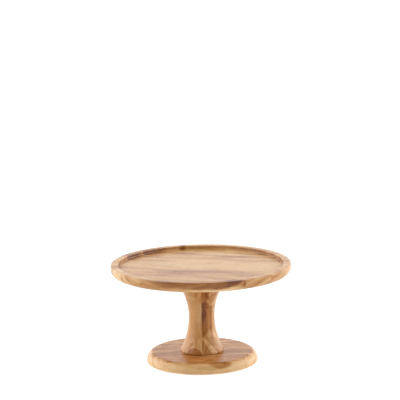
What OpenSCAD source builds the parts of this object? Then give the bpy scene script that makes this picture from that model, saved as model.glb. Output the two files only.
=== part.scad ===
// Pedestal cake stand in laminated hardwood: a round plate with a raised rim, a turned column, a round base.
// Origin: centre of the footprint on the table. +Z is up, -Y is the front. All turning is about the Z axis.
// Plate, column and base are each glued up from staves and then turned: every stave is a piece of its own.

/* [Overall] */
// Height from the table to the top of the rim
total_h = 140; // [110:1:200]
// Diameter of the plate
plate_d = 250; // [180:1:340]
// Diameter of the base
base_d = 155; // [130:1:220]

/* [Plate] */
// Thickness of the plate at the rim
plate_t = 13.5; // [11.5:0.5:22]
// Width of the raised rim, seen from above
rim_w = 10.5; // [5:0.5:25]
// Depth of the recess inside the rim
recess_depth = 5; // [2.5:0.5:7]
// Rounding of the outer top edge of the rim
rim_round = 1.5; // [0.5:0.1:2.5]
// Rounding of the inner top edge of the rim
lip_round = 1; // [0.3:0.1:2]
// Hollow rounding between the recess wall and its floor
recess_cove = 2; // [0.5:0.1:2]
// Height of the eased lower edge
under_ease_h = 7; // [3:0.5:9]
// How far the eased lower edge runs in under the plate
under_ease_in = 5; // [1:0.5:6]
// Direction of the staves in the plate, turned from the X axis
plate_grain_turn = -16; // [-45:1:45]

/* [Column] */
// Diameter of the waist
waist_d = 36; // [30:0.2:46]
// Height of the waist above the base
waist_h = 49; // [38:0.5:62]
// Diameter of the foot of the column
foot_d = 60; // [50:0.5:76]
// Diameter of the head of the column, under the plate
head_d = 84; // [66:0.5:104]
// Height of the straight band at the foot
foot_band = 3; // [1.5:0.1:5]
// Height of the straight band at the head
head_band = 3; // [1.5:0.1:6]
// Rounding of the foot and head edges
column_round = 1.2; // [0.4:0.1:1.4]
// Thickness of the boards that the column is glued up from
column_board_t = 21.5; // [17:0.5:28]

/* [Base] */
// Thickness of the base
base_t = 13.5; // [8.5:0.5:18]
// How far in the rounded upper edge of the base reaches
edge_w = 10; // [5:0.5:24]
// Rounding of the lower edge of the base
base_under_round = 1; // [0.5:0.1:3]
// Direction of the staves in the base, turned from the X axis
base_grain_turn = 4; // [-45:1:45]

/* [Pads] */
// Diameter of an anti-slip pad
pad_d = 14; // [8:0.5:22]
// Thickness of an anti-slip pad
pad_t = 2.5; // [1.5:0.1:4]
// Gap between the table and the base
foot_gap = 1; // [0.5:0.1:1.4]
// Distance of the pad centres from the edge of the base
pad_inset = 25; // [16:1:28]

/* [Upper joint] */
// Thread diameter of the stud
stud_d = 6; // [4:0.5:8]
// Length of the stud inside the column
stud_wood_l = 32; // [15:1:50]
// How far the end of the stud stops short of the end of the insert
stud_short = 1; // [0.5:0.1:2]
// Outer diameter of the threaded insert
insert_d = 10; // [9.5:0.5:14]
// Wood left over the hole of the insert, under the floor of the recess
insert_cover = 2; // [1:0.1:3.5]
// Flange diameter of the threaded insert
insert_flange_d = 14; // [13:0.5:18]
// Flange thickness of the threaded insert
insert_flange_t = 1; // [0.6:0.1:2]

/* [Lower joint] */
// Shank diameter of the base screw
screw_d = 6; // [4:0.5:7]
// Length of the base screw under its head
screw_l = 42; // [25:1:50]
// Head diameter of the base screw
screw_head_d = 12; // [10:0.5:14]
// Head thickness of the base screw
screw_head_t = 2.8; // [2:0.1:3]
// Diameter of the washer
washer_d = 18; // [15:0.5:22]
// Thickness of the washer
washer_t = 1.2; // [0.8:0.1:1.6]
// Depth of the counterbore in the base
counterbore_depth = 5; // [4.8:0.1:6]

/* [Fits] */
// Radial clearance around the pads and the washer
loose_fit = 0.25; // [0.1:0.05:0.5]
// Radial clearance around the stud, the insert and the screw in the wood
close_fit = 0.05; // [0.02:0.01:0.15]
// Radial clearance of the screw through the base and of the stud in the insert
pass_fit = 0.1; // [0.05:0.05:0.4]
// Room left beyond the tip of the screw, the stud and the insert
tip_room = 0.5; // [0.2:0.1:1]

/* [Hidden] */
plate_staves = 7;
base_staves = 5;
SIDES = ["left", "right"];
FACES = ["front", "back"];
PLATE_NODES = [for (i = [1:plate_staves]) str("plate_stave_", i)];
CORE_NODES = [for (f = FACES, s = SIDES) str("column_core_", f, "_", s)];
FOOT_NODES = [for (f = FACES, s = SIDES) str("column_foot_", f, "_", s)];
HEAD_NODES = [for (f = FACES, s = SIDES) str("column_head_", f, "_", s)];
BASE_NODES = [for (i = [1:base_staves]) str("base_stave_", i)];
PAD_NODES = [for (i = [1:4]) str("anti_slip_pad_", i)];
JOINT_NODES = ["plate_threaded_insert", "column_stud", "base_screw", "base_washer"];

$fn = 96;
arc_steps = 6;
sweep_steps = 20;
plate_r = plate_d / 2;
base_r = base_d / 2;
waist_r = waist_d / 2;
foot_r = foot_d / 2;
head_r = head_d / 2;
base_top = foot_gap + base_t;
plate_under = total_h - plate_t;
recess_floor = total_h - recess_depth;
recess_r = plate_r - rim_w;
insert_l = plate_t - recess_depth - insert_cover - tip_room;
stud_thread_l = insert_l - stud_short;
waist_z = base_top + waist_h;
plate_stave_w = plate_d / plate_staves;
base_stave_w = base_d / base_staves;
cutter = max(plate_d, base_d);
thread_pitch = 1;
thread_depth = 0.5;
cross_w = 1.4;
cross_l = 6;
cross_depth = 1.8;
head_round = 1;
past = 1;
pad_y = base_stave_w;
pad_x = sqrt(pow(base_r - pad_inset, 2) - pow(pad_y, 2));

// Wood tones, from sapwood to heartwood, and the tones of the pads and fasteners
sapwood = [0.89, 0.74, 0.56];
honey = [0.82, 0.64, 0.44];
tan_wood = [0.76, 0.56, 0.37];
heartwood = [0.58, 0.37, 0.20];
rubber = [0.16, 0.15, 0.14];
brass = [0.78, 0.62, 0.30];
zinc = [0.72, 0.72, 0.74];
plate_tones = [tan_wood, honey, honey, sapwood, honey, tan_wood, honey];
base_tones = [sapwood, tan_wood, honey, tan_wood, honey];

// Points on a circle about (cx, cy), from angle a0 to a1
function arc(cx, cy, r, a0, a1, n = arc_steps) =
    [for (i = [0:n]) let (a = a0 + (a1 - a0) * i / n) [cx + r * cos(a), cy + r * sin(a)]];

// Radius of the circle that starts along a straight line and leaves it by "off" over a length of "run"
function blend_r(run, off) = (run * run + off * off) / (2 * off);

// Outline of the plate, from the axis outwards
function plate_outline() =
    let (ease_r = blend_r(under_ease_h, under_ease_in))
    let (ease_a = asin(under_ease_h / ease_r))
    concat(
        [[0, plate_under]],
        arc(plate_r - ease_r, plate_under + under_ease_h, ease_r, -ease_a, 0),
        arc(plate_r - rim_round, total_h - rim_round, rim_round, 0, 90),
        arc(recess_r + lip_round, total_h - lip_round, lip_round, 90, 180),
        arc(recess_r - recess_cove, recess_floor + recess_cove, recess_cove, 0, -90),
        [[0, recess_floor]]
    );

// Outline of the column: foot band, concave sweep to the waist, concave sweep to the head, head band
function column_outline() =
    let (low_run = waist_h - foot_band)
    let (low_r = blend_r(low_run, foot_r - waist_r))
    let (low_a = asin(low_run / low_r))
    let (high_run = plate_under - head_band - waist_z)
    let (high_r = blend_r(high_run, head_r - waist_r))
    let (high_a = asin(high_run / high_r))
    concat(
        [[0, base_top]],
        arc(foot_r - column_round, base_top + column_round, column_round, -90, 0),
        arc(waist_r + low_r, waist_z, low_r, 180 + low_a, 180, sweep_steps),
        arc(waist_r + high_r, waist_z, high_r, 180, 180 - high_a, sweep_steps),
        arc(head_r - column_round, plate_under - column_round, column_round, 0, 90),
        [[0, plate_under]]
    );

// Outline of the base: rounded lower edge and an upper edge rounded on a quarter ellipse
function base_outline() =
    let (edge_z = foot_gap + base_under_round)
    concat(
        [[0, foot_gap]],
        arc(base_r - base_under_round, edge_z, base_under_round, -90, 0),
        [for (i = [1:sweep_steps]) let (a = 90 * i / sweep_steps)
            [base_r - edge_w + edge_w * cos(a), edge_z + (base_top - edge_z) * sin(a)]],
        [[0, base_top]]
    );

// A straight slab, one stave wide, of a panel that is cut into staves along its grain
module stave_slab(i, width, count, turn) {
    rotate([0, 0, turn])
        translate([-cutter, (i - count / 2) * width, 0])
            cube([2 * cutter, width, total_h]);
}

// One corner of the space around the axis: side -1 is left, face -1 is front
module corner(side, face, z0, z1) {
    translate([side < 0 ? -cutter : 0, face < 0 ? -cutter : 0, z0])
        cube([cutter, cutter, z1 - z0]);
}

module plate_stave(i) {
    insert_hole_r = insert_d / 2 + close_fit;
    flange_hole_r = insert_flange_d / 2 + close_fit;
    middle = abs(i + 0.5 - plate_staves / 2) * plate_stave_w < plate_stave_w / 2 + flange_hole_r;
    color(plate_tones[i])
        difference() {
            intersection() {
                rotate_extrude() polygon(plate_outline());
                stave_slab(i, plate_stave_w, plate_staves, plate_grain_turn);
            }
            if (middle) {
                translate([0, 0, plate_under - past])
                    cylinder(r = insert_hole_r, h = past + insert_l + tip_room);
                translate([0, 0, plate_under - past])
                    cylinder(r = flange_hole_r, h = past + insert_flange_t);
            }
        }
}

// The whole turned column, with the pilot holes for the stud and the base screw
module turned_column() {
    screw_tip_z = foot_gap + counterbore_depth - washer_t + screw_l;
    difference() {
        rotate_extrude() polygon(column_outline());
        translate([0, 0, plate_under - stud_wood_l - tip_room])
            cylinder(r = stud_d / 2 + close_fit, h = stud_wood_l + tip_room + past);
        translate([0, 0, base_top - past])
            cylinder(r = screw_d / 2 + close_fit, h = screw_tip_z + tip_room - base_top + past);
    }
}

// The middle boards run the whole height of the column
module column_core(side, face) {
    color(side < 0 ? honey : tan_wood)
        intersection() {
            turned_column();
            corner(side, face, base_top, plate_under);
            translate([-cutter, -column_board_t, base_top])
                cube([2 * cutter, 2 * column_board_t, plate_under - base_top]);
        }
}

// Turning cuts through the outer boards at the waist, so each leaves a foot piece and a head piece
module column_outer(side, face, z0, z1) {
    color(side < 0 ? honey : heartwood)
        intersection() {
            turned_column();
            corner(side, face, z0, z1);
            translate([-cutter, face < 0 ? -cutter : column_board_t, z0])
                cube([2 * cutter, cutter - column_board_t, z1 - z0]);
        }
}

module base_stave(i) {
    middle = abs(i + 0.5 - base_staves / 2) * base_stave_w < base_stave_w / 2 + washer_d / 2;
    color(base_tones[i])
        difference() {
            intersection() {
                rotate_extrude() polygon(base_outline());
                stave_slab(i, base_stave_w, base_staves, base_grain_turn);
            }
            if (middle) {
                translate([0, 0, foot_gap - past])
                    cylinder(r = washer_d / 2 + loose_fit, h = past + counterbore_depth);
                translate([0, 0, foot_gap - past])
                    cylinder(r = screw_d / 2 + pass_fit, h = base_t + 2 * past);
            }
            pad_places() cylinder(r = pad_d / 2 + loose_fit, h = pad_t);
        }
}

// Where the pads sit: each is centred on a stave, so that none lies across a glue line
module pad_places() {
    rotate([0, 0, base_grain_turn])
        for (sx = [-1, 1], sy = [-1, 1])
            translate([sx * pad_x, sy * pad_y, 0]) children();
}

module anti_slip_pad(i) {
    sx = i % 2 == 0 ? -1 : 1;
    sy = i < 2 ? -1 : 1;
    color(rubber)
        rotate([0, 0, base_grain_turn])
            translate([sx * pad_x, sy * pad_y, 0])
                rotate_extrude()
                    polygon(concat(
                        [[0, 0]],
                        arc(pad_d / 2 - foot_gap / 2, foot_gap / 2, foot_gap / 2, -90, 0),
                        [[pad_d / 2, pad_t], [0, pad_t]]
                    ));
}

module plate_threaded_insert() {
    color(brass)
        translate([0, 0, plate_under])
            difference() {
                union() {
                    cylinder(r = insert_d / 2, h = insert_l);
                    cylinder(r = insert_flange_d / 2, h = insert_flange_t);
                }
                translate([0, 0, -past]) cylinder(r = stud_d / 2 + pass_fit, h = insert_l + 2 * past);
            }
}

// Ridges and grooves of a thread along a shank, from z0 up to z1
function thread_points(r, z0, z1) =
    let (n = floor((z1 - z0) / thread_pitch))
    [for (i = [0:n - 1], k = [0, 1]) [k == 0 ? r : r - thread_depth, z0 + (i + k / 2) * thread_pitch]];

module column_stud() {
    r = stud_d / 2;
    tip_z = plate_under - stud_wood_l;
    color(zinc)
        rotate_extrude()
            polygon(concat(
                [[0, tip_z], [r - thread_depth, tip_z + r]],
                thread_points(r, tip_z + r, plate_under - 2 * thread_pitch),
                [[r, plate_under - thread_pitch], [r, plate_under]],
                thread_points(r, plate_under, plate_under + stud_thread_l - thread_pitch),
                [[r - thread_depth, plate_under + stud_thread_l], [0, plate_under + stud_thread_l]]
            ));
}

module base_washer() {
    color(zinc)
        translate([0, 0, foot_gap + counterbore_depth - washer_t])
            difference() {
                cylinder(r = washer_d / 2, h = washer_t);
                translate([0, 0, -past]) cylinder(r = screw_d / 2 + pass_fit, h = washer_t + 2 * past);
            }
}

module base_screw() {
    r = screw_d / 2;
    seat_z = foot_gap + counterbore_depth - washer_t;
    under_z = seat_z - screw_head_t;
    tip_z = seat_z + screw_l;
    shank_z = base_top + thread_pitch;
    color(zinc)
        difference() {
            rotate_extrude()
                polygon(concat(
                    [[0, under_z]],
                    arc(screw_head_d / 2 - head_round, under_z + head_round, head_round, -90, 0),
                    [[screw_head_d / 2, seat_z], [r, seat_z]],
                    thread_points(r, shank_z, tip_z - 2 * r),
                    [[r - thread_depth, tip_z - 2 * r], [0, tip_z]]
                ));
            for (a = [0, 90])
                rotate([0, 0, a])
                    translate([-cross_l / 2, -cross_w / 2, under_z - past])
                        cube([cross_l, cross_w, cross_depth + past]);
        }
}

for (i = [0:plate_staves - 1])
    plate_stave(i);
for (i = [0:3]) {
    side = i % 2 == 0 ? -1 : 1;
    face = i < 2 ? -1 : 1;
    column_core(side, face);
    column_outer(side, face, base_top, waist_z);
    column_outer(side, face, waist_z, plate_under);
    anti_slip_pad(i);
}
for (i = [0:base_staves - 1])
    base_stave(i);
plate_threaded_insert();
column_stud();
base_screw();
base_washer();
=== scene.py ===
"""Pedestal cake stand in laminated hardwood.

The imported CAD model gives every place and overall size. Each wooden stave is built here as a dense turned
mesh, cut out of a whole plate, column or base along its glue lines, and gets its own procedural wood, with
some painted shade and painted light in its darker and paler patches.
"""
import math

import bmesh
import bpy
from mathutils import Matrix, Vector


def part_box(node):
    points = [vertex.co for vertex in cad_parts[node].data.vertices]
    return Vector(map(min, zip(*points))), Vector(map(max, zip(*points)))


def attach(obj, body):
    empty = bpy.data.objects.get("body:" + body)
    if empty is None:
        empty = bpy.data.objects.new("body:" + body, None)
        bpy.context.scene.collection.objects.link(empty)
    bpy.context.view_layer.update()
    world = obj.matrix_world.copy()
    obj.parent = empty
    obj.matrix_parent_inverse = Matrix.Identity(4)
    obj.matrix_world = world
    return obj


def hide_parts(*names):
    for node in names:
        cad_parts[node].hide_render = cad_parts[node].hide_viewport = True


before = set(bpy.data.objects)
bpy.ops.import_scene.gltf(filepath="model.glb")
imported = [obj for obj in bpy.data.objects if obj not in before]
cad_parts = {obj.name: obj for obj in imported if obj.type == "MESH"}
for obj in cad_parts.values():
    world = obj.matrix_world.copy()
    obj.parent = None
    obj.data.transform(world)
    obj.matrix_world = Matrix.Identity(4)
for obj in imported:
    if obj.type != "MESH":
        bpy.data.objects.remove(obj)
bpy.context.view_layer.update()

SCENE = bpy.context.scene
MM = 0.001

# ---------------------------------------------------------------- sizes, in metres, as in the CAD model
PLATE_STAVES = [f"plate_stave_{i}" for i in range(1, 8)]
BASE_STAVES = [f"base_stave_{i}" for i in range(1, 6)]
CORNERS = [(face, side) for face in ("front", "back") for side in ("left", "right")]
PADS = [f"anti_slip_pad_{i}" for i in range(1, 5)]


def box_of(nodes):
    """Lowest and highest corner of several CAD nodes together."""
    boxes = [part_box(n) for n in nodes]
    low = Vector([min(b[0][k] for b in boxes) for k in range(3)])
    high = Vector([max(b[1][k] for b in boxes) for k in range(3)])
    return low, high


PLATE_LOW, PLATE_HIGH = box_of(PLATE_STAVES)
BASE_LOW, BASE_HIGH = box_of(BASE_STAVES)
COLUMN_LOW, COLUMN_HIGH = box_of([f"column_core_{f}_{s}" for f, s in CORNERS])
WAIST_H = 49.0 * MM  # above the base
WAIST_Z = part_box("column_foot_front_left")[0].z + WAIST_H
PLATE_R = PLATE_HIGH.x
BASE_R = BASE_HIGH.x
HEAD_R = COLUMN_HIGH.x
BOARD_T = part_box("column_core_back_left")[1].y
RIM_W = 10.5 * MM
RECESS_DEPTH = 5.0 * MM
RIM_ROUND = 1.5 * MM
LIP_ROUND = 1.0 * MM
COVE = 2.0 * MM
EASE_H, EASE_IN = 7.0 * MM, 5.0 * MM
WAIST_R = 18.0 * MM
FOOT_R = 30.0 * MM
FOOT_BAND, HEAD_BAND = 3.0 * MM, 3.0 * MM
COLUMN_ROUND = 1.2 * MM
EDGE_W = 10.0 * MM
BASE_UNDER_ROUND = 1.0 * MM
PLATE_TURN = math.radians(-16)
BASE_TURN = math.radians(4)
INSERT_HOLE_R, INSERT_HOLE_H = 5.05 * MM, 6.5 * MM
FLANGE_HOLE_R, FLANGE_HOLE_H = 7.05 * MM, 1.0 * MM
STUD_HOLE_R, STUD_HOLE_H = 3.05 * MM, 32.5 * MM
PILOT_R = 3.05 * MM
COUNTERBORE_R, COUNTERBORE_H = 9.25 * MM, 5.0 * MM
SCREW_HOLE_R = 3.1 * MM
SCREW_REACH = 41.3 * MM  # from the floor of the counterbore to the end of the screw's pilot hole
GROOVE_W, GROOVE_D = 0.35 * MM, 0.07 * MM  # half width and depth of the fine groove along a glue line
PLATE_SEGMENTS, COLUMN_SEGMENTS, BASE_SEGMENTS = 384, 256, 320

# ---------------------------------------------------------------- outlines, as lists of (radius, height)


def arc(cx, cz, r, a0, a1, steps):
    """Points on a circle, from angle a0 to a1 in degrees."""
    angles = [math.radians(a0 + (a1 - a0) * i / steps) for i in range(steps + 1)]
    return [(cx + r * math.cos(a), cz + r * math.sin(a)) for a in angles]


def line(p, q, steps):
    """Points from p to q, without p."""
    shares = [i / steps for i in range(1, steps + 1)]
    return [(p[0] + (q[0] - p[0]) * i, p[1] + (q[1] - p[1]) * i) for i in shares]


def blend_r(run, off):
    """Radius of the circle that starts along a straight line and leaves it by off over a length of run."""
    return (run * run + off * off) / (2 * off)


def plate_outline():
    under, top = PLATE_LOW.z, PLATE_HIGH.z
    floor = top - RECESS_DEPTH
    recess_r = PLATE_R - RIM_W
    ease_r = blend_r(EASE_H, EASE_IN)
    ease_a = math.degrees(math.asin(EASE_H / ease_r))
    hole = [(0, under + INSERT_HOLE_H), (INSERT_HOLE_R, under + INSERT_HOLE_H),
            (INSERT_HOLE_R, under + FLANGE_HOLE_H), (FLANGE_HOLE_R, under + FLANGE_HOLE_H),
            (FLANGE_HOLE_R, under)]
    points = hole + line(hole[-1], (PLATE_R - EASE_IN, under), 12)[:-1]
    points += arc(PLATE_R - ease_r, under + EASE_H, ease_r, -ease_a, 0, 14)
    points += arc(PLATE_R - RIM_ROUND, top - RIM_ROUND, RIM_ROUND, 0, 90, 8)
    points += arc(recess_r + LIP_ROUND, top - LIP_ROUND, LIP_ROUND, 90, 180, 7)
    points += arc(recess_r - COVE, floor + COVE, COVE, 0, -90, 8)
    return points + line(points[-1], (0, floor), 14)


def column_outline():
    low_z, high_z = COLUMN_LOW.z, COLUMN_HIGH.z
    low_run = WAIST_Z - FOOT_BAND - low_z
    low_r = blend_r(low_run, FOOT_R - WAIST_R)
    low_a = math.degrees(math.asin(low_run / low_r))
    high_run = high_z - HEAD_BAND - WAIST_Z
    high_r = blend_r(high_run, HEAD_R - WAIST_R)
    high_a = math.degrees(math.asin(high_run / high_r))
    pilot_top = BASE_LOW.z + COUNTERBORE_H + SCREW_REACH
    points = [(0, pilot_top), (PILOT_R, pilot_top), (PILOT_R, low_z)]
    points += arc(FOOT_R - COLUMN_ROUND, low_z + COLUMN_ROUND, COLUMN_ROUND, -90, 0, 7)
    points += arc(WAIST_R + low_r, WAIST_Z, low_r, 180 + low_a, 180, 36)
    points += arc(WAIST_R + high_r, WAIST_Z, high_r, 180, 180 - high_a, 44)[1:]
    points += arc(HEAD_R - COLUMN_ROUND, high_z - COLUMN_ROUND, COLUMN_ROUND, 0, 90, 7)
    stud_low = high_z - STUD_HOLE_H
    return points + [(STUD_HOLE_R, high_z), (STUD_HOLE_R, stud_low), (0, stud_low)]


def base_outline():
    low_z, top_z = BASE_LOW.z, BASE_HIGH.z
    edge_z = low_z + BASE_UNDER_ROUND
    bore_z = low_z + COUNTERBORE_H
    points = [(SCREW_HOLE_R, top_z), (SCREW_HOLE_R, bore_z), (COUNTERBORE_R, bore_z), (COUNTERBORE_R, low_z)]
    points += line(points[-1], (BASE_R - BASE_UNDER_ROUND, low_z), 10)[:-1]
    points += arc(BASE_R - BASE_UNDER_ROUND, edge_z, BASE_UNDER_ROUND, -90, 0, 7)
    steps = 36
    for i in range(1, steps + 1):
        a = math.pi / 2 * i / steps
        points.append((BASE_R - EDGE_W + EDGE_W * math.cos(a), edge_z + (top_z - edge_z) * math.sin(a)))
    return points + line(points[-1], (SCREW_HOLE_R, top_z), 8)[:-1]


# ---------------------------------------------------------------- meshes


def lathe(outline, segments, closed=False):
    """A bmesh turned from an outline. A point at radius 0 becomes one vertex. closed joins the two ends."""
    bm = bmesh.new()
    rings = []
    for r, z in outline:
        if r < 1e-9:
            rings.append([bm.verts.new((0, 0, z))])
            continue
        turn = [2 * math.pi * k / segments for k in range(segments)]
        rings.append([bm.verts.new((r * math.cos(a), r * math.sin(a), z)) for a in turn])
    pairs = list(zip(rings, rings[1:]))
    if closed:
        pairs.append((rings[-1], rings[0]))
    for low, high in pairs:
        for k in range(segments):
            n = (k + 1) % segments
            corners = [low[k % len(low)], low[n % len(low)], high[n % len(high)], high[k % len(high)]]
            corners = [v for i, v in enumerate(corners) if v not in corners[:i]]
            if len(corners) > 2:
                bm.faces.new(corners)
    bmesh.ops.recalc_face_normals(bm, faces=bm.faces)
    return bm


def cut(bm, point, normal, groove=0.0):
    """Cuts away what lies beyond a plane and closes the cut. groove lowers the surface along the cut."""
    normal = Vector(normal).normalized()
    point = Vector(point)

    def slice_at(where, clear):
        geometry = bm.verts[:] + bm.edges[:] + bm.faces[:]
        return bmesh.ops.bisect_plane(
            bm, geom=geometry, dist=1e-8, plane_co=where, plane_no=normal, clear_outer=clear)["geom_cut"]

    if groove:
        slice_at(point - normal * GROOVE_W, False)
    rim = slice_at(point, True)
    if groove:
        bm.normal_update()
        for v in [g for g in rim if isinstance(g, bmesh.types.BMVert)]:
            along = v.normal - normal * v.normal.dot(normal)
            if along.length > 0.5:
                v.co -= along.normalized() * groove
    edges = [g for g in rim if isinstance(g, bmesh.types.BMEdge) and g.is_boundary]
    bmesh.ops.holes_fill(bm, edges=edges, sides=0)


def finish_mesh(bm, name, material, node):
    """Turns a bmesh into a piece that stands for one CAD node."""
    bmesh.ops.remove_doubles(bm, verts=bm.verts, dist=1e-7)
    bmesh.ops.recalc_face_normals(bm, faces=bm.faces)
    mesh = bpy.data.meshes.new(name)
    bm.to_mesh(mesh)
    bm.free()
    mesh.shade_smooth()
    mesh.set_sharp_from_angle(angle=math.radians(35))
    piece = bpy.data.objects.new(name, mesh)
    SCENE.collection.objects.link(piece)
    mesh.materials.append(material)
    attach(piece, "root")
    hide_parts(node)
    return piece


def stave(outline_mesh, turn, low, high, first, last):
    """One stave of a glued-up panel: what lies between two planes along its grain."""
    bm = outline_mesh.copy()
    across = Vector((-math.sin(turn), math.cos(turn), 0))
    if not last:
        cut(bm, across * high, across, GROOVE_D)
    if not first:
        cut(bm, across * low, -across, GROOVE_D)
    return bm


# ---------------------------------------------------------------- wood


class Tree:
    """Short calls for building a node tree."""

    def __init__(self, tree):
        self.tree = tree

    def join(self, value, socket):
        """Links a socket, or sets a plain value."""
        if isinstance(value, bpy.types.NodeSocket):
            self.tree.links.new(value, socket)
        else:
            socket.default_value = value

    def add(self, kind, inputs=(), **settings):
        node = self.tree.nodes.new(kind)
        for key, value in settings.items():
            setattr(node, key, value)
        for key, value in dict(inputs).items():
            self.join(value, node.inputs[key])
        return node

    def math(self, operation, *values, clamp=False):
        return self.add("ShaderNodeMath", enumerate(values), operation=operation, use_clamp=clamp).outputs[0]

    def total(self, *values):
        result = values[0]
        for value in values[1:]:
            result = self.math("ADD", result, value)
        return result

    def vector(self, operation, *values):
        node = self.add("ShaderNodeVectorMath", enumerate(values), operation=operation)
        return node.outputs["Value"] if operation in ("LENGTH", "DOT_PRODUCT") else node.outputs[0]

    def noise(self, vector, per_mm, detail=2.0, roughness=0.5):
        """Noise of 0 to 1, with per_mm giving its patches per millimetre along each axis."""
        inputs = {"Vector": self.vector("MULTIPLY", vector, per_mm), "Scale": 1.0, "Detail": detail,
                  "Roughness": roughness}
        return self.add("ShaderNodeTexNoise", inputs, noise_dimensions="3D").outputs["Fac"]

    def bands(self, value, per_mm, detail=1.0):
        """Noise of 0 to 1 along one value."""
        inputs = {"W": self.math("MULTIPLY", value, per_mm), "Scale": 1.0, "Detail": detail}
        return self.add("ShaderNodeTexNoise", inputs, noise_dimensions="1D").outputs["Fac"]

    def step(self, value, low, high, top=1.0):
        """A soft step, 0 at low and top at high."""
        inputs = {"Value": value, "From Min": low, "From Max": high, "To Max": top}
        return self.add("ShaderNodeMapRange", inputs, interpolation_type="SMOOTHSTEP").outputs["Result"]

    def mix(self, factor, a, b, blend="MIX"):
        node = self.add("ShaderNodeMix", data_type="RGBA", blend_type=blend)
        for key, value in ((0, factor), (6, a), (7, b)):
            self.join(value, node.inputs[key])
        return node.outputs[2]

    def ramp(self, value, stops):
        node = self.add("ShaderNodeValToRGB", {0: value})
        elements = node.color_ramp.elements
        while len(elements) < len(stops):
            elements.new(0.5)
        for element, (at, tone) in zip(elements, stops):
            element.position = at
            element.color = tone
        return node.outputs[0]


def colour(r, g, b):
    """A screen colour of 0 to 255 as the linear colour that Blender works in."""
    return tuple((v / 255) ** 2.2 for v in (r, g, b)) + (1.0,)


# from the palest sapwood to the darkest heartwood
WOOD_TONES = [(0.0, colour(220, 182, 135)), (0.25, colour(195, 149, 96)), (0.5, colour(168, 114, 60)),
              (0.75, colour(139, 82, 26)), (1.0, colour(108, 57, 9))]


def wood_group():
    """Wood in space. Grain is a place in mm, with X along the tree. Darkness, 0 to 1, picks the tone."""
    group = bpy.data.node_groups.new("wood", "ShaderNodeTree")
    for name in ("Grain", "Pith"):
        group.interface.new_socket(name=name, in_out="INPUT", socket_type="NodeSocketVector")
    for name in ("Darkness", "Figure", "Streaks"):
        group.interface.new_socket(name=name, in_out="INPUT", socket_type="NodeSocketFloat")
    group.interface.new_socket(name="Color", in_out="OUTPUT", socket_type="NodeSocketColor")
    for name in ("Height", "Roughness"):
        group.interface.new_socket(name=name, in_out="OUTPUT", socket_type="NodeSocketFloat")
    t = Tree(group)
    given = t.add("NodeGroupInput").outputs
    grain = given["Grain"]
    # distance from the pith, wandering along the tree
    drift = t.noise(grain, (0.007, 0.02, 0.02), 1.0)
    waver = t.noise(grain, (0.035, 0.09, 0.09), 2.0)
    across = t.vector("MULTIPLY", t.vector("SUBTRACT", grain, given["Pith"]), (0.0, 1.0, 1.0))
    wander = t.math("MULTIPLY", drift, 24.0)
    depth = t.total(t.vector("LENGTH", across), wander, t.math("MULTIPLY", waver, 2.4))
    # growth rings: broad bands, with fine lines in them
    broad = t.bands(depth, 0.17, 1.5)
    fine = t.bands(depth, 0.85, 1.0)
    rings = t.total(t.math("MULTIPLY", broad, 1.0), t.math("MULTIPLY", fine, 0.45), -0.725)
    # fibres, pores, mineral streaks and the ripple across the grain
    fibre = t.math("SUBTRACT", t.noise(grain, (0.03, 1.1, 1.1), 3.0, 0.6), 0.5)
    pores = t.step(t.noise(grain, (0.20, 2.4, 2.4), 1.0), 0.60, 0.72)
    streak = t.step(t.noise(grain, (0.006, 0.17, 0.17), 2.0), 0.54, 0.70)
    ripple = t.math("SUBTRACT", t.noise(grain, (0.11, 0.035, 0.035), 2.0), 0.5)
    darkness = t.total(
        given["Darkness"], t.math("MULTIPLY", rings, given["Figure"]), t.math("MULTIPLY", fibre, 0.36),
        t.math("MULTIPLY", streak, given["Streaks"]), t.math("MULTIPLY", ripple, 0.16),
        t.math("MULTIPLY", pores, 0.14))
    tone = t.ramp(darkness, WOOD_TONES)
    # a warmer or greener cast from place to place
    cast = t.step(t.noise(grain, (0.012, 0.05, 0.05), 1.0), 0.35, 0.65)
    tone = t.mix(1.0, tone, t.mix(cast, (1.02, 0.98, 0.95, 1), (0.98, 1.01, 1.0, 1)), "MULTIPLY")
    height = t.math("SUBTRACT", t.math("MULTIPLY", fibre, 0.6), t.math("MULTIPLY", pores, 0.7))
    rough = t.total(t.math("MULTIPLY", fibre, 0.10), t.math("MULTIPLY", pores, 0.16), 0.27)
    t.add("NodeGroupOutput", {"Color": tone, "Height": height, "Roughness": rough})
    return group


WOOD = wood_group()


def patch(centre, size, strength, soft=0.35):
    """A darker patch, or a lighter one with a negative strength: an ellipsoid, in millimetres. Most are the
    wood's own figure; those marked where they are listed are painted shade and painted light.
    """

    def mask(t, place):
        away = t.vector("DIVIDE", t.vector("SUBTRACT", place, centre), size)
        return t.step(t.vector("LENGTH", away), 1 + soft, 1 - soft, strength)

    return mask


def beyond(normal, distance, strength, soft=1.0):
    """Darker beyond a plane, given by its normal and its distance from the origin, in millimetres. On the
    column's right foot this is darker wood; on the top of the base it is darker wood with painted shade.
    """
    normal = Vector(normal).normalized()

    def mask(t, place):
        past = t.math("SUBTRACT", t.vector("DOT_PRODUCT", place, tuple(normal)), distance)
        return t.step(past, -soft, soft, strength)

    return mask


def within(t, value, low, high, soft=0.6):
    """1 between two values, falling softly to 0 outside them."""
    rise = t.step(value, low - soft, low + soft)
    return t.math("MULTIPLY", rise, t.step(value, high + soft, high - soft))


def wall_ends_darker(low_r, high_r, low, high, strength):
    """Darker on the recess wall towards its left and right ends, in mm."""

    def mask(t, place):
        xyz = t.add("ShaderNodeSeparateXYZ", {0: place}).outputs
        r = t.vector("LENGTH", t.vector("MULTIPLY", place, (1.0, 1.0, 0.0)))
        ring = within(t, r, low_r, high_r)
        layer = within(t, xyz[2], low, high)
        ends = t.step(t.math("ABSOLUTE", xyz[0]), 0.25 * high_r, 0.75 * high_r, strength)
        return t.math("MULTIPLY", t.math("MULTIPLY", ring, layer), ends)

    return mask


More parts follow.
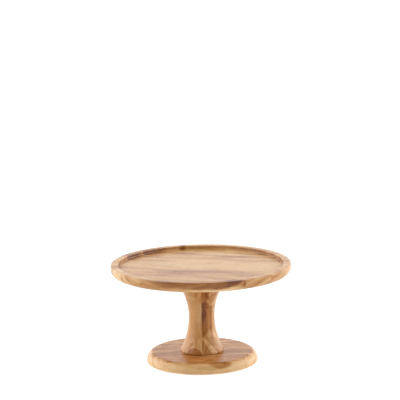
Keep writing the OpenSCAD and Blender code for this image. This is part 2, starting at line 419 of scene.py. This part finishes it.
def wood(name, turn, seed, pith, darkness, figure, streaks, features, upright=False, warp=5.0, ior=1.38):
    """One stave's wood. The grain runs along X turned by turn, or upwards. pith is the tree's centre."""
    material = bpy.data.materials.new(name)
    material.use_nodes = True
    t = Tree(material.node_tree)
    shader = material.node_tree.nodes["Principled BSDF"]
    place = t.vector("MULTIPLY", t.add("ShaderNodeTexCoord").outputs["Object"], (1000, 1000, 1000))
    if upright:
        xyz = t.add("ShaderNodeSeparateXYZ", {0: place}).outputs
        along = t.add("ShaderNodeCombineXYZ", {0: xyz[2], 1: xyz[0], 2: xyz[1]}).outputs[0]
    else:
        turned = t.add("ShaderNodeVectorRotate", {"Vector": place, "Angle": -turn}, rotation_type="Z_AXIS")
        along = turned.outputs[0]
    shift = (173.0 * seed, 59.0 * seed, 31.0 * seed)
    grain = t.vector("ADD", along, shift)
    # the features' outlines follow the grain loosely
    sway = t.math("MULTIPLY", t.math("SUBTRACT", t.noise(grain, (0.03, 0.14, 0.14), 2.0), 0.5), warp)
    offset = t.add("ShaderNodeCombineXYZ", {0: sway, 1: sway, 2: sway}).outputs[0]
    swayed = t.vector("ADD", place, offset)
    level = t.total(darkness, *[feature(t, swayed) for feature in features])
    centre = tuple(p + s for p, s in zip((0, *pith), shift))
    settings = {"Grain": grain, "Pith": centre, "Darkness": level, "Figure": figure, "Streaks": streaks}
    pattern = t.add("ShaderNodeGroup", node_tree=WOOD)
    for key, value in settings.items():
        t.join(value, pattern.inputs[key])
    relief = {"Height": pattern.outputs["Height"], "Distance": 0.0001, "Strength": 0.6}
    bump = t.add("ShaderNodeBump", relief)
    t.join(pattern.outputs["Color"], shader.inputs["Base Color"])
    t.join(pattern.outputs["Roughness"], shader.inputs["Roughness"])
    t.join(bump.outputs[0], shader.inputs["Normal"])
    shader.inputs["IOR"].default_value = ior
    return material


# ---------------------------------------------------------------- plate

plate_mesh = lathe(plate_outline(), PLATE_SEGMENTS)
plate_w = 2 * PLATE_R / len(PLATE_STAVES)
PLATE_WOODS = [
    # darkness, pith across the stave and above it, streaks, features
    (0.31, (-40, 60), 0.15, [
        # front of the rim: the broad dark upper band is partly darker wood, partly painted shade; the paler
        # lower band is painted light
        patch((6, -116, 138.5), (64, 26, 8), 0.42, 0.5), patch((0, -122, 127), (80, 12, 5), -0.12, 0.4),
        # painted shade: a dark spot on the top of the rim's lip at the front
        patch((43, -116, 139), (13, 5, 3), 0.25),
        # painted light: paler spots in the lower band on the front of the rim
        patch((3, -121, 128), (16, 9, 3.5), -0.3), patch((42, -118, 129), (28, 9, 3.5), -0.22),
        patch((-58, -106, 134), (28, 18, 9), 0.16, 0.6)]),
    (0.37, (30, -70), 0.10, [
        # the paler patches towards the rim's left and right ends, last on this line and on the next, are
        # partly paler wood, partly painted light
        patch((-54, -53, 135), (9, 6, 6), 0.2), patch((-112, -50, 133), (22, 22, 9), -0.26),
        patch((112, -42, 133), (22, 34, 9), -0.2)]),
    (0.37, (-25, 80), 0.15, [patch((-20, -36, 135), (92, 11, 20), 0.26, 0.9)]),
    (0.21, (15, -90), 0.10, []),
    (0.32, (-30, 75), 0.12, [
        patch((-67, 69, 135), (14, 4, 8), 0.3, 0.6), patch((-78, 40, 135), (28, 9, 9), 0.2, 0.6),
        # dark patch on the back wall of the recess: partly darker wood, partly painted shade
        patch((-100, 62, 137), (16, 16, 8), 0.35, 0.6)]),
    (0.33, (40, -60), 0.15, [
        patch((-22, 83, 135), (16, 4, 8), 0.34, 0.6), patch((50, 55, 135), (35, 7, 9), 0.2, 0.6),
        # dark patch on the back wall of the recess: partly darker wood, partly painted shade
        patch((-78, 90, 137), (20, 14, 8), 0.35, 0.6)]),
    # dark patch on the back wall of the recess: partly darker wood, partly painted shade
    (0.32, (-10, 90), 0.10, [patch((-26, 118, 137), (5, 12, 6), 0.45, 0.5)]),
]
PLATE_IOR = 1.5  # a glossier finish than the rest
RECESS_WALL = wall_ends_darker(112.5, 116.5, 131.5, 139.0, 0.34)
for i, name in enumerate(PLATE_STAVES):
    low = -PLATE_R + i * plate_w
    bm = stave(plate_mesh, PLATE_TURN, low, low + plate_w, i == 0, i == len(PLATE_STAVES) - 1)
    darkness, (aside, above), streaks, features = PLATE_WOODS[i]
    pith = ((low + plate_w / 2) / MM + aside, 130 + above)
    features = [RECESS_WALL, *features]
    material = wood(name, PLATE_TURN, i, pith, darkness, 0.55, streaks, features, ior=PLATE_IOR)
    finish_mesh(bm, f"{name}_wood", material, name)
plate_mesh.free()

# ---------------------------------------------------------------- column

column_mesh = lathe(column_outline(), COLUMN_SEGMENTS)
COLUMN_WOODS = {
    # darkness, features
    ("core", "left"): (0.30, []),
    ("core", "right"): (0.42, [
        patch((20, -6, 60), (5.5, 14, 45), -0.22, 0.4),
        patch((3, -18, 88), (7, 14, 26), 0.26, 0.5), patch((4, -18, 52), (5, 14, 18), 0.2, 0.5),
        patch((4, -18, 72), (2.5, 8, 6), 0.14, 0.6), patch((5, -18, 81), (6, 8, 1.4), 0.16, 0.6),
        patch((6, -18, 86), (6, 8, 1.2), 0.16, 0.6), patch((13, -14, 60), (1.5, 8, 30), 0.12, 0.6)]),
    ("foot", "left"): (0.14, [patch((-12, -27, 13.5), (12, 13, 11), 0.4, 0.08)]),
    ("foot", "right"): (0.14, [beyond((-5.3, -15, 0), 20.5, 0.28, 0.6)]),
    ("head", "left"): (0.36, []),
    ("head", "right"): (0.68, [patch((15, -21, 99), (4.5, 10, 9), -0.4, 0.3)]),
}
for f, (face, side) in enumerate(CORNERS):
    out_x = 1 if side == "right" else -1
    out_y = 1 if face == "back" else -1
    for p, part in enumerate(("core", "foot", "head")):
        name = f"column_{part}_{face}_{side}"
        bm = column_mesh.copy()
        cut(bm, (0, 0, 0), (-out_x, 0, 0), GROOVE_D)
        if part == "core":
            cut(bm, (0, 0, 0), (0, -out_y, 0), GROOVE_D)
            cut(bm, (0, out_y * BOARD_T, 0), (0, out_y, 0), GROOVE_D)
        else:
            cut(bm, (0, out_y * BOARD_T, 0), (0, -out_y, 0), GROOVE_D)
            cut(bm, (0, 0, WAIST_Z), (0, 0, 1 if part == "foot" else -1))
        darkness, features = COLUMN_WOODS[part, side]
        pith = (45 * out_x, 60 * out_y)
        figure = 0.7 if side == "right" else 0.4
        seed = 3 * f + p
        material = wood(name, 0.0, seed, pith, darkness, figure, 0.15, features, upright=True, warp=2.0)
        finish_mesh(bm, f"{name}_wood", material, name)
column_mesh.free()

# ---------------------------------------------------------------- base

base_mesh = lathe(base_outline(), BASE_SEGMENTS, closed=True)
base_w = 2 * BASE_R / len(BASE_STAVES)
BASE_WOODS = [
    # darkness, pith across the stave and above it, streaks, features
    (0.10, (20, -40), 0.05, [patch((29, -72, 13), (20, 12, 5), 0.36, 0.25)]),
    (0.08, (-25, 60), 0.10, []),
    (0.08, (30, -60), 0.10, []),
    (0.08, (-20, 70), 0.10, []),
    (0.08, (10, -80), 0.10, []),
]
# the flat top of the base is darker than its rounded edge: partly darker heartwood, partly painted shade
# from the plate above; the edge runs down into the paler wood below
BASE_TOP_HEART_AND_SHADE = beyond((0, 0, 1), 13.8, 0.36, 0.5)
for i, name in enumerate(BASE_STAVES):
    low = -BASE_R + i * base_w
    bm = stave(base_mesh, BASE_TURN, low, low + base_w, i == 0, i == len(BASE_STAVES) - 1)
    darkness, (aside, above), streaks, features = BASE_WOODS[i]
    pith = ((low + base_w / 2) / MM + aside, 6 + above)
    material = wood(name, BASE_TURN, 11 + i, pith, darkness, 0.5, streaks, [BASE_TOP_HEART_AND_SHADE, *features])
    finish_mesh(bm, f"{name}_wood", material, name)
base_mesh.free()

# ---------------------------------------------------------------- pads and fasteners


def plain(name, base, roughness, metallic=0.0):
    """Metal or rubber with a fine unevenness in its gloss."""
    material = bpy.data.materials.new(name)
    material.use_nodes = True
    t = Tree(material.node_tree)
    shader = material.node_tree.nodes["Principled BSDF"]
    place = t.vector("MULTIPLY", t.add("ShaderNodeTexCoord").outputs["Object"], (1000, 1000, 1000))
    speck = t.noise(place, (1.4, 1.4, 1.4), 3.0)
    shader.inputs["Metallic"].default_value = metallic
    tone = t.mix(speck, tuple(0.82 * v for v in base[:3]) + (1,), base)
    t.tree.links.new(tone, shader.inputs["Base Color"])
    rough = t.math("ADD", t.math("MULTIPLY", speck, 0.16), roughness - 0.08)
    t.tree.links.new(rough, shader.inputs["Roughness"])
    bump = t.add("ShaderNodeBump", {"Height": speck, "Distance": 0.00005, "Strength": 0.5})
    t.tree.links.new(bump.outputs[0], shader.inputs["Normal"])
    return material


def dress(node, material):
    """Gives a CAD node its finish."""
    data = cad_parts[node].data
    data.materials.clear()
    data.materials.append(material)


RUBBER = plain("pad_rubber", colour(38, 37, 36), 0.75)
BRASS = plain("insert_brass", colour(206, 170, 96), 0.32, 1.0)
ZINC = plain("fastener_zinc", colour(196, 198, 202), 0.30, 1.0)
for pad in PADS:
    dress(pad, RUBBER)
dress("plate_threaded_insert", BRASS)
for part in ("column_stud", "base_screw", "base_washer"):
    dress(part, ZINC)

# ---------------------------------------------------------------- camera, light and floor

LENS_F = 4.0789  # focal length over the picture's width
PITCH, ROLL = math.radians(10.365), math.radians(0.975)
CAMERA_AT = Vector((0.0042, -17.6955, 5.0631)) * PLATE_R
FLOOR_REACH = 30  # half its width, in metres
# brightness of the light tent: above, near the horizon, to the left and right, and on the camera's side
TOP_LEVEL = 0.84
LOW_LEVEL = 0.35
SIDE_LEVEL = 2.0
FRONT_LEVEL = 0.05


def make_camera():
    data = bpy.data.cameras.new("camera")
    camera = bpy.data.objects.new("camera", data)
    SCENE.collection.objects.link(camera)
    data.sensor_width = 36.0
    data.lens = LENS_F * data.sensor_width
    forward = Vector((0, math.cos(PITCH), -math.sin(PITCH)))
    right = Vector((1, 0, 0))
    up = right.cross(forward)
    rolled_right = right * math.cos(ROLL) - up * math.sin(ROLL)
    rolled_up = right * math.sin(ROLL) + up * math.cos(ROLL)
    axes = Matrix((rolled_right, rolled_up, -forward)).transposed().to_4x4()
    camera.matrix_world = Matrix.Translation(CAMERA_AT) @ axes
    data.clip_start, data.clip_end = 0.01, 100
    SCENE.camera = camera


def make_floor():
    bm = bmesh.new()
    bmesh.ops.create_grid(bm, x_segments=2, y_segments=2, size=FLOOR_REACH)
    mesh = bpy.data.meshes.new("floor")
    bm.to_mesh(mesh)
    bm.free()
    floor = bpy.data.objects.new("floor", mesh)
    SCENE.collection.objects.link(floor)
    material = bpy.data.materials.new("floor")
    material.use_nodes = True
    shader = material.node_tree.nodes["Principled BSDF"]
    shader.inputs["Base Color"].default_value = (0.35, 0.35, 0.35, 1)
    shader.inputs["Roughness"].default_value = 0.9
    shader.inputs["Specular IOR Level"].default_value = 0.0
    shader.inputs["Emission Color"].default_value = (1, 1, 1, 1)
    shader.inputs["Emission Strength"].default_value = 0.8
    mesh.materials.append(material)


def make_light():
    """A white tent of light all round, dimmer on the camera's side."""
    world = bpy.data.worlds.new("studio")
    world.use_nodes = True
    SCENE.world = world
    t = Tree(world.node_tree)
    background = world.node_tree.nodes["Background"]
    direction = t.add("ShaderNodeTexCoord").outputs["Generated"]
    xyz = t.add("ShaderNodeSeparateXYZ", {0: direction}).outputs
    low = t.step(xyz[2], 0.6, 0.2, LOW_LEVEL)
    sides = t.step(t.math("ABSOLUTE", xyz[0]), 0.45, 0.85, SIDE_LEVEL)
    front = t.step(xyz[1], -0.25, -0.8, -1.0)
    level = t.math("MULTIPLY", t.total(TOP_LEVEL, low, sides), t.math("ADD", front, 1.0 + FRONT_LEVEL))
    seen = t.add("ShaderNodeLightPath").outputs["Is Camera Ray"]
    t.join(t.math("MAXIMUM", level, seen), background.inputs["Strength"])
    background.inputs["Color"].default_value = (1, 1, 1, 1)


make_camera()
make_floor()
make_light()
SCENE.view_settings.view_transform = "Standard"
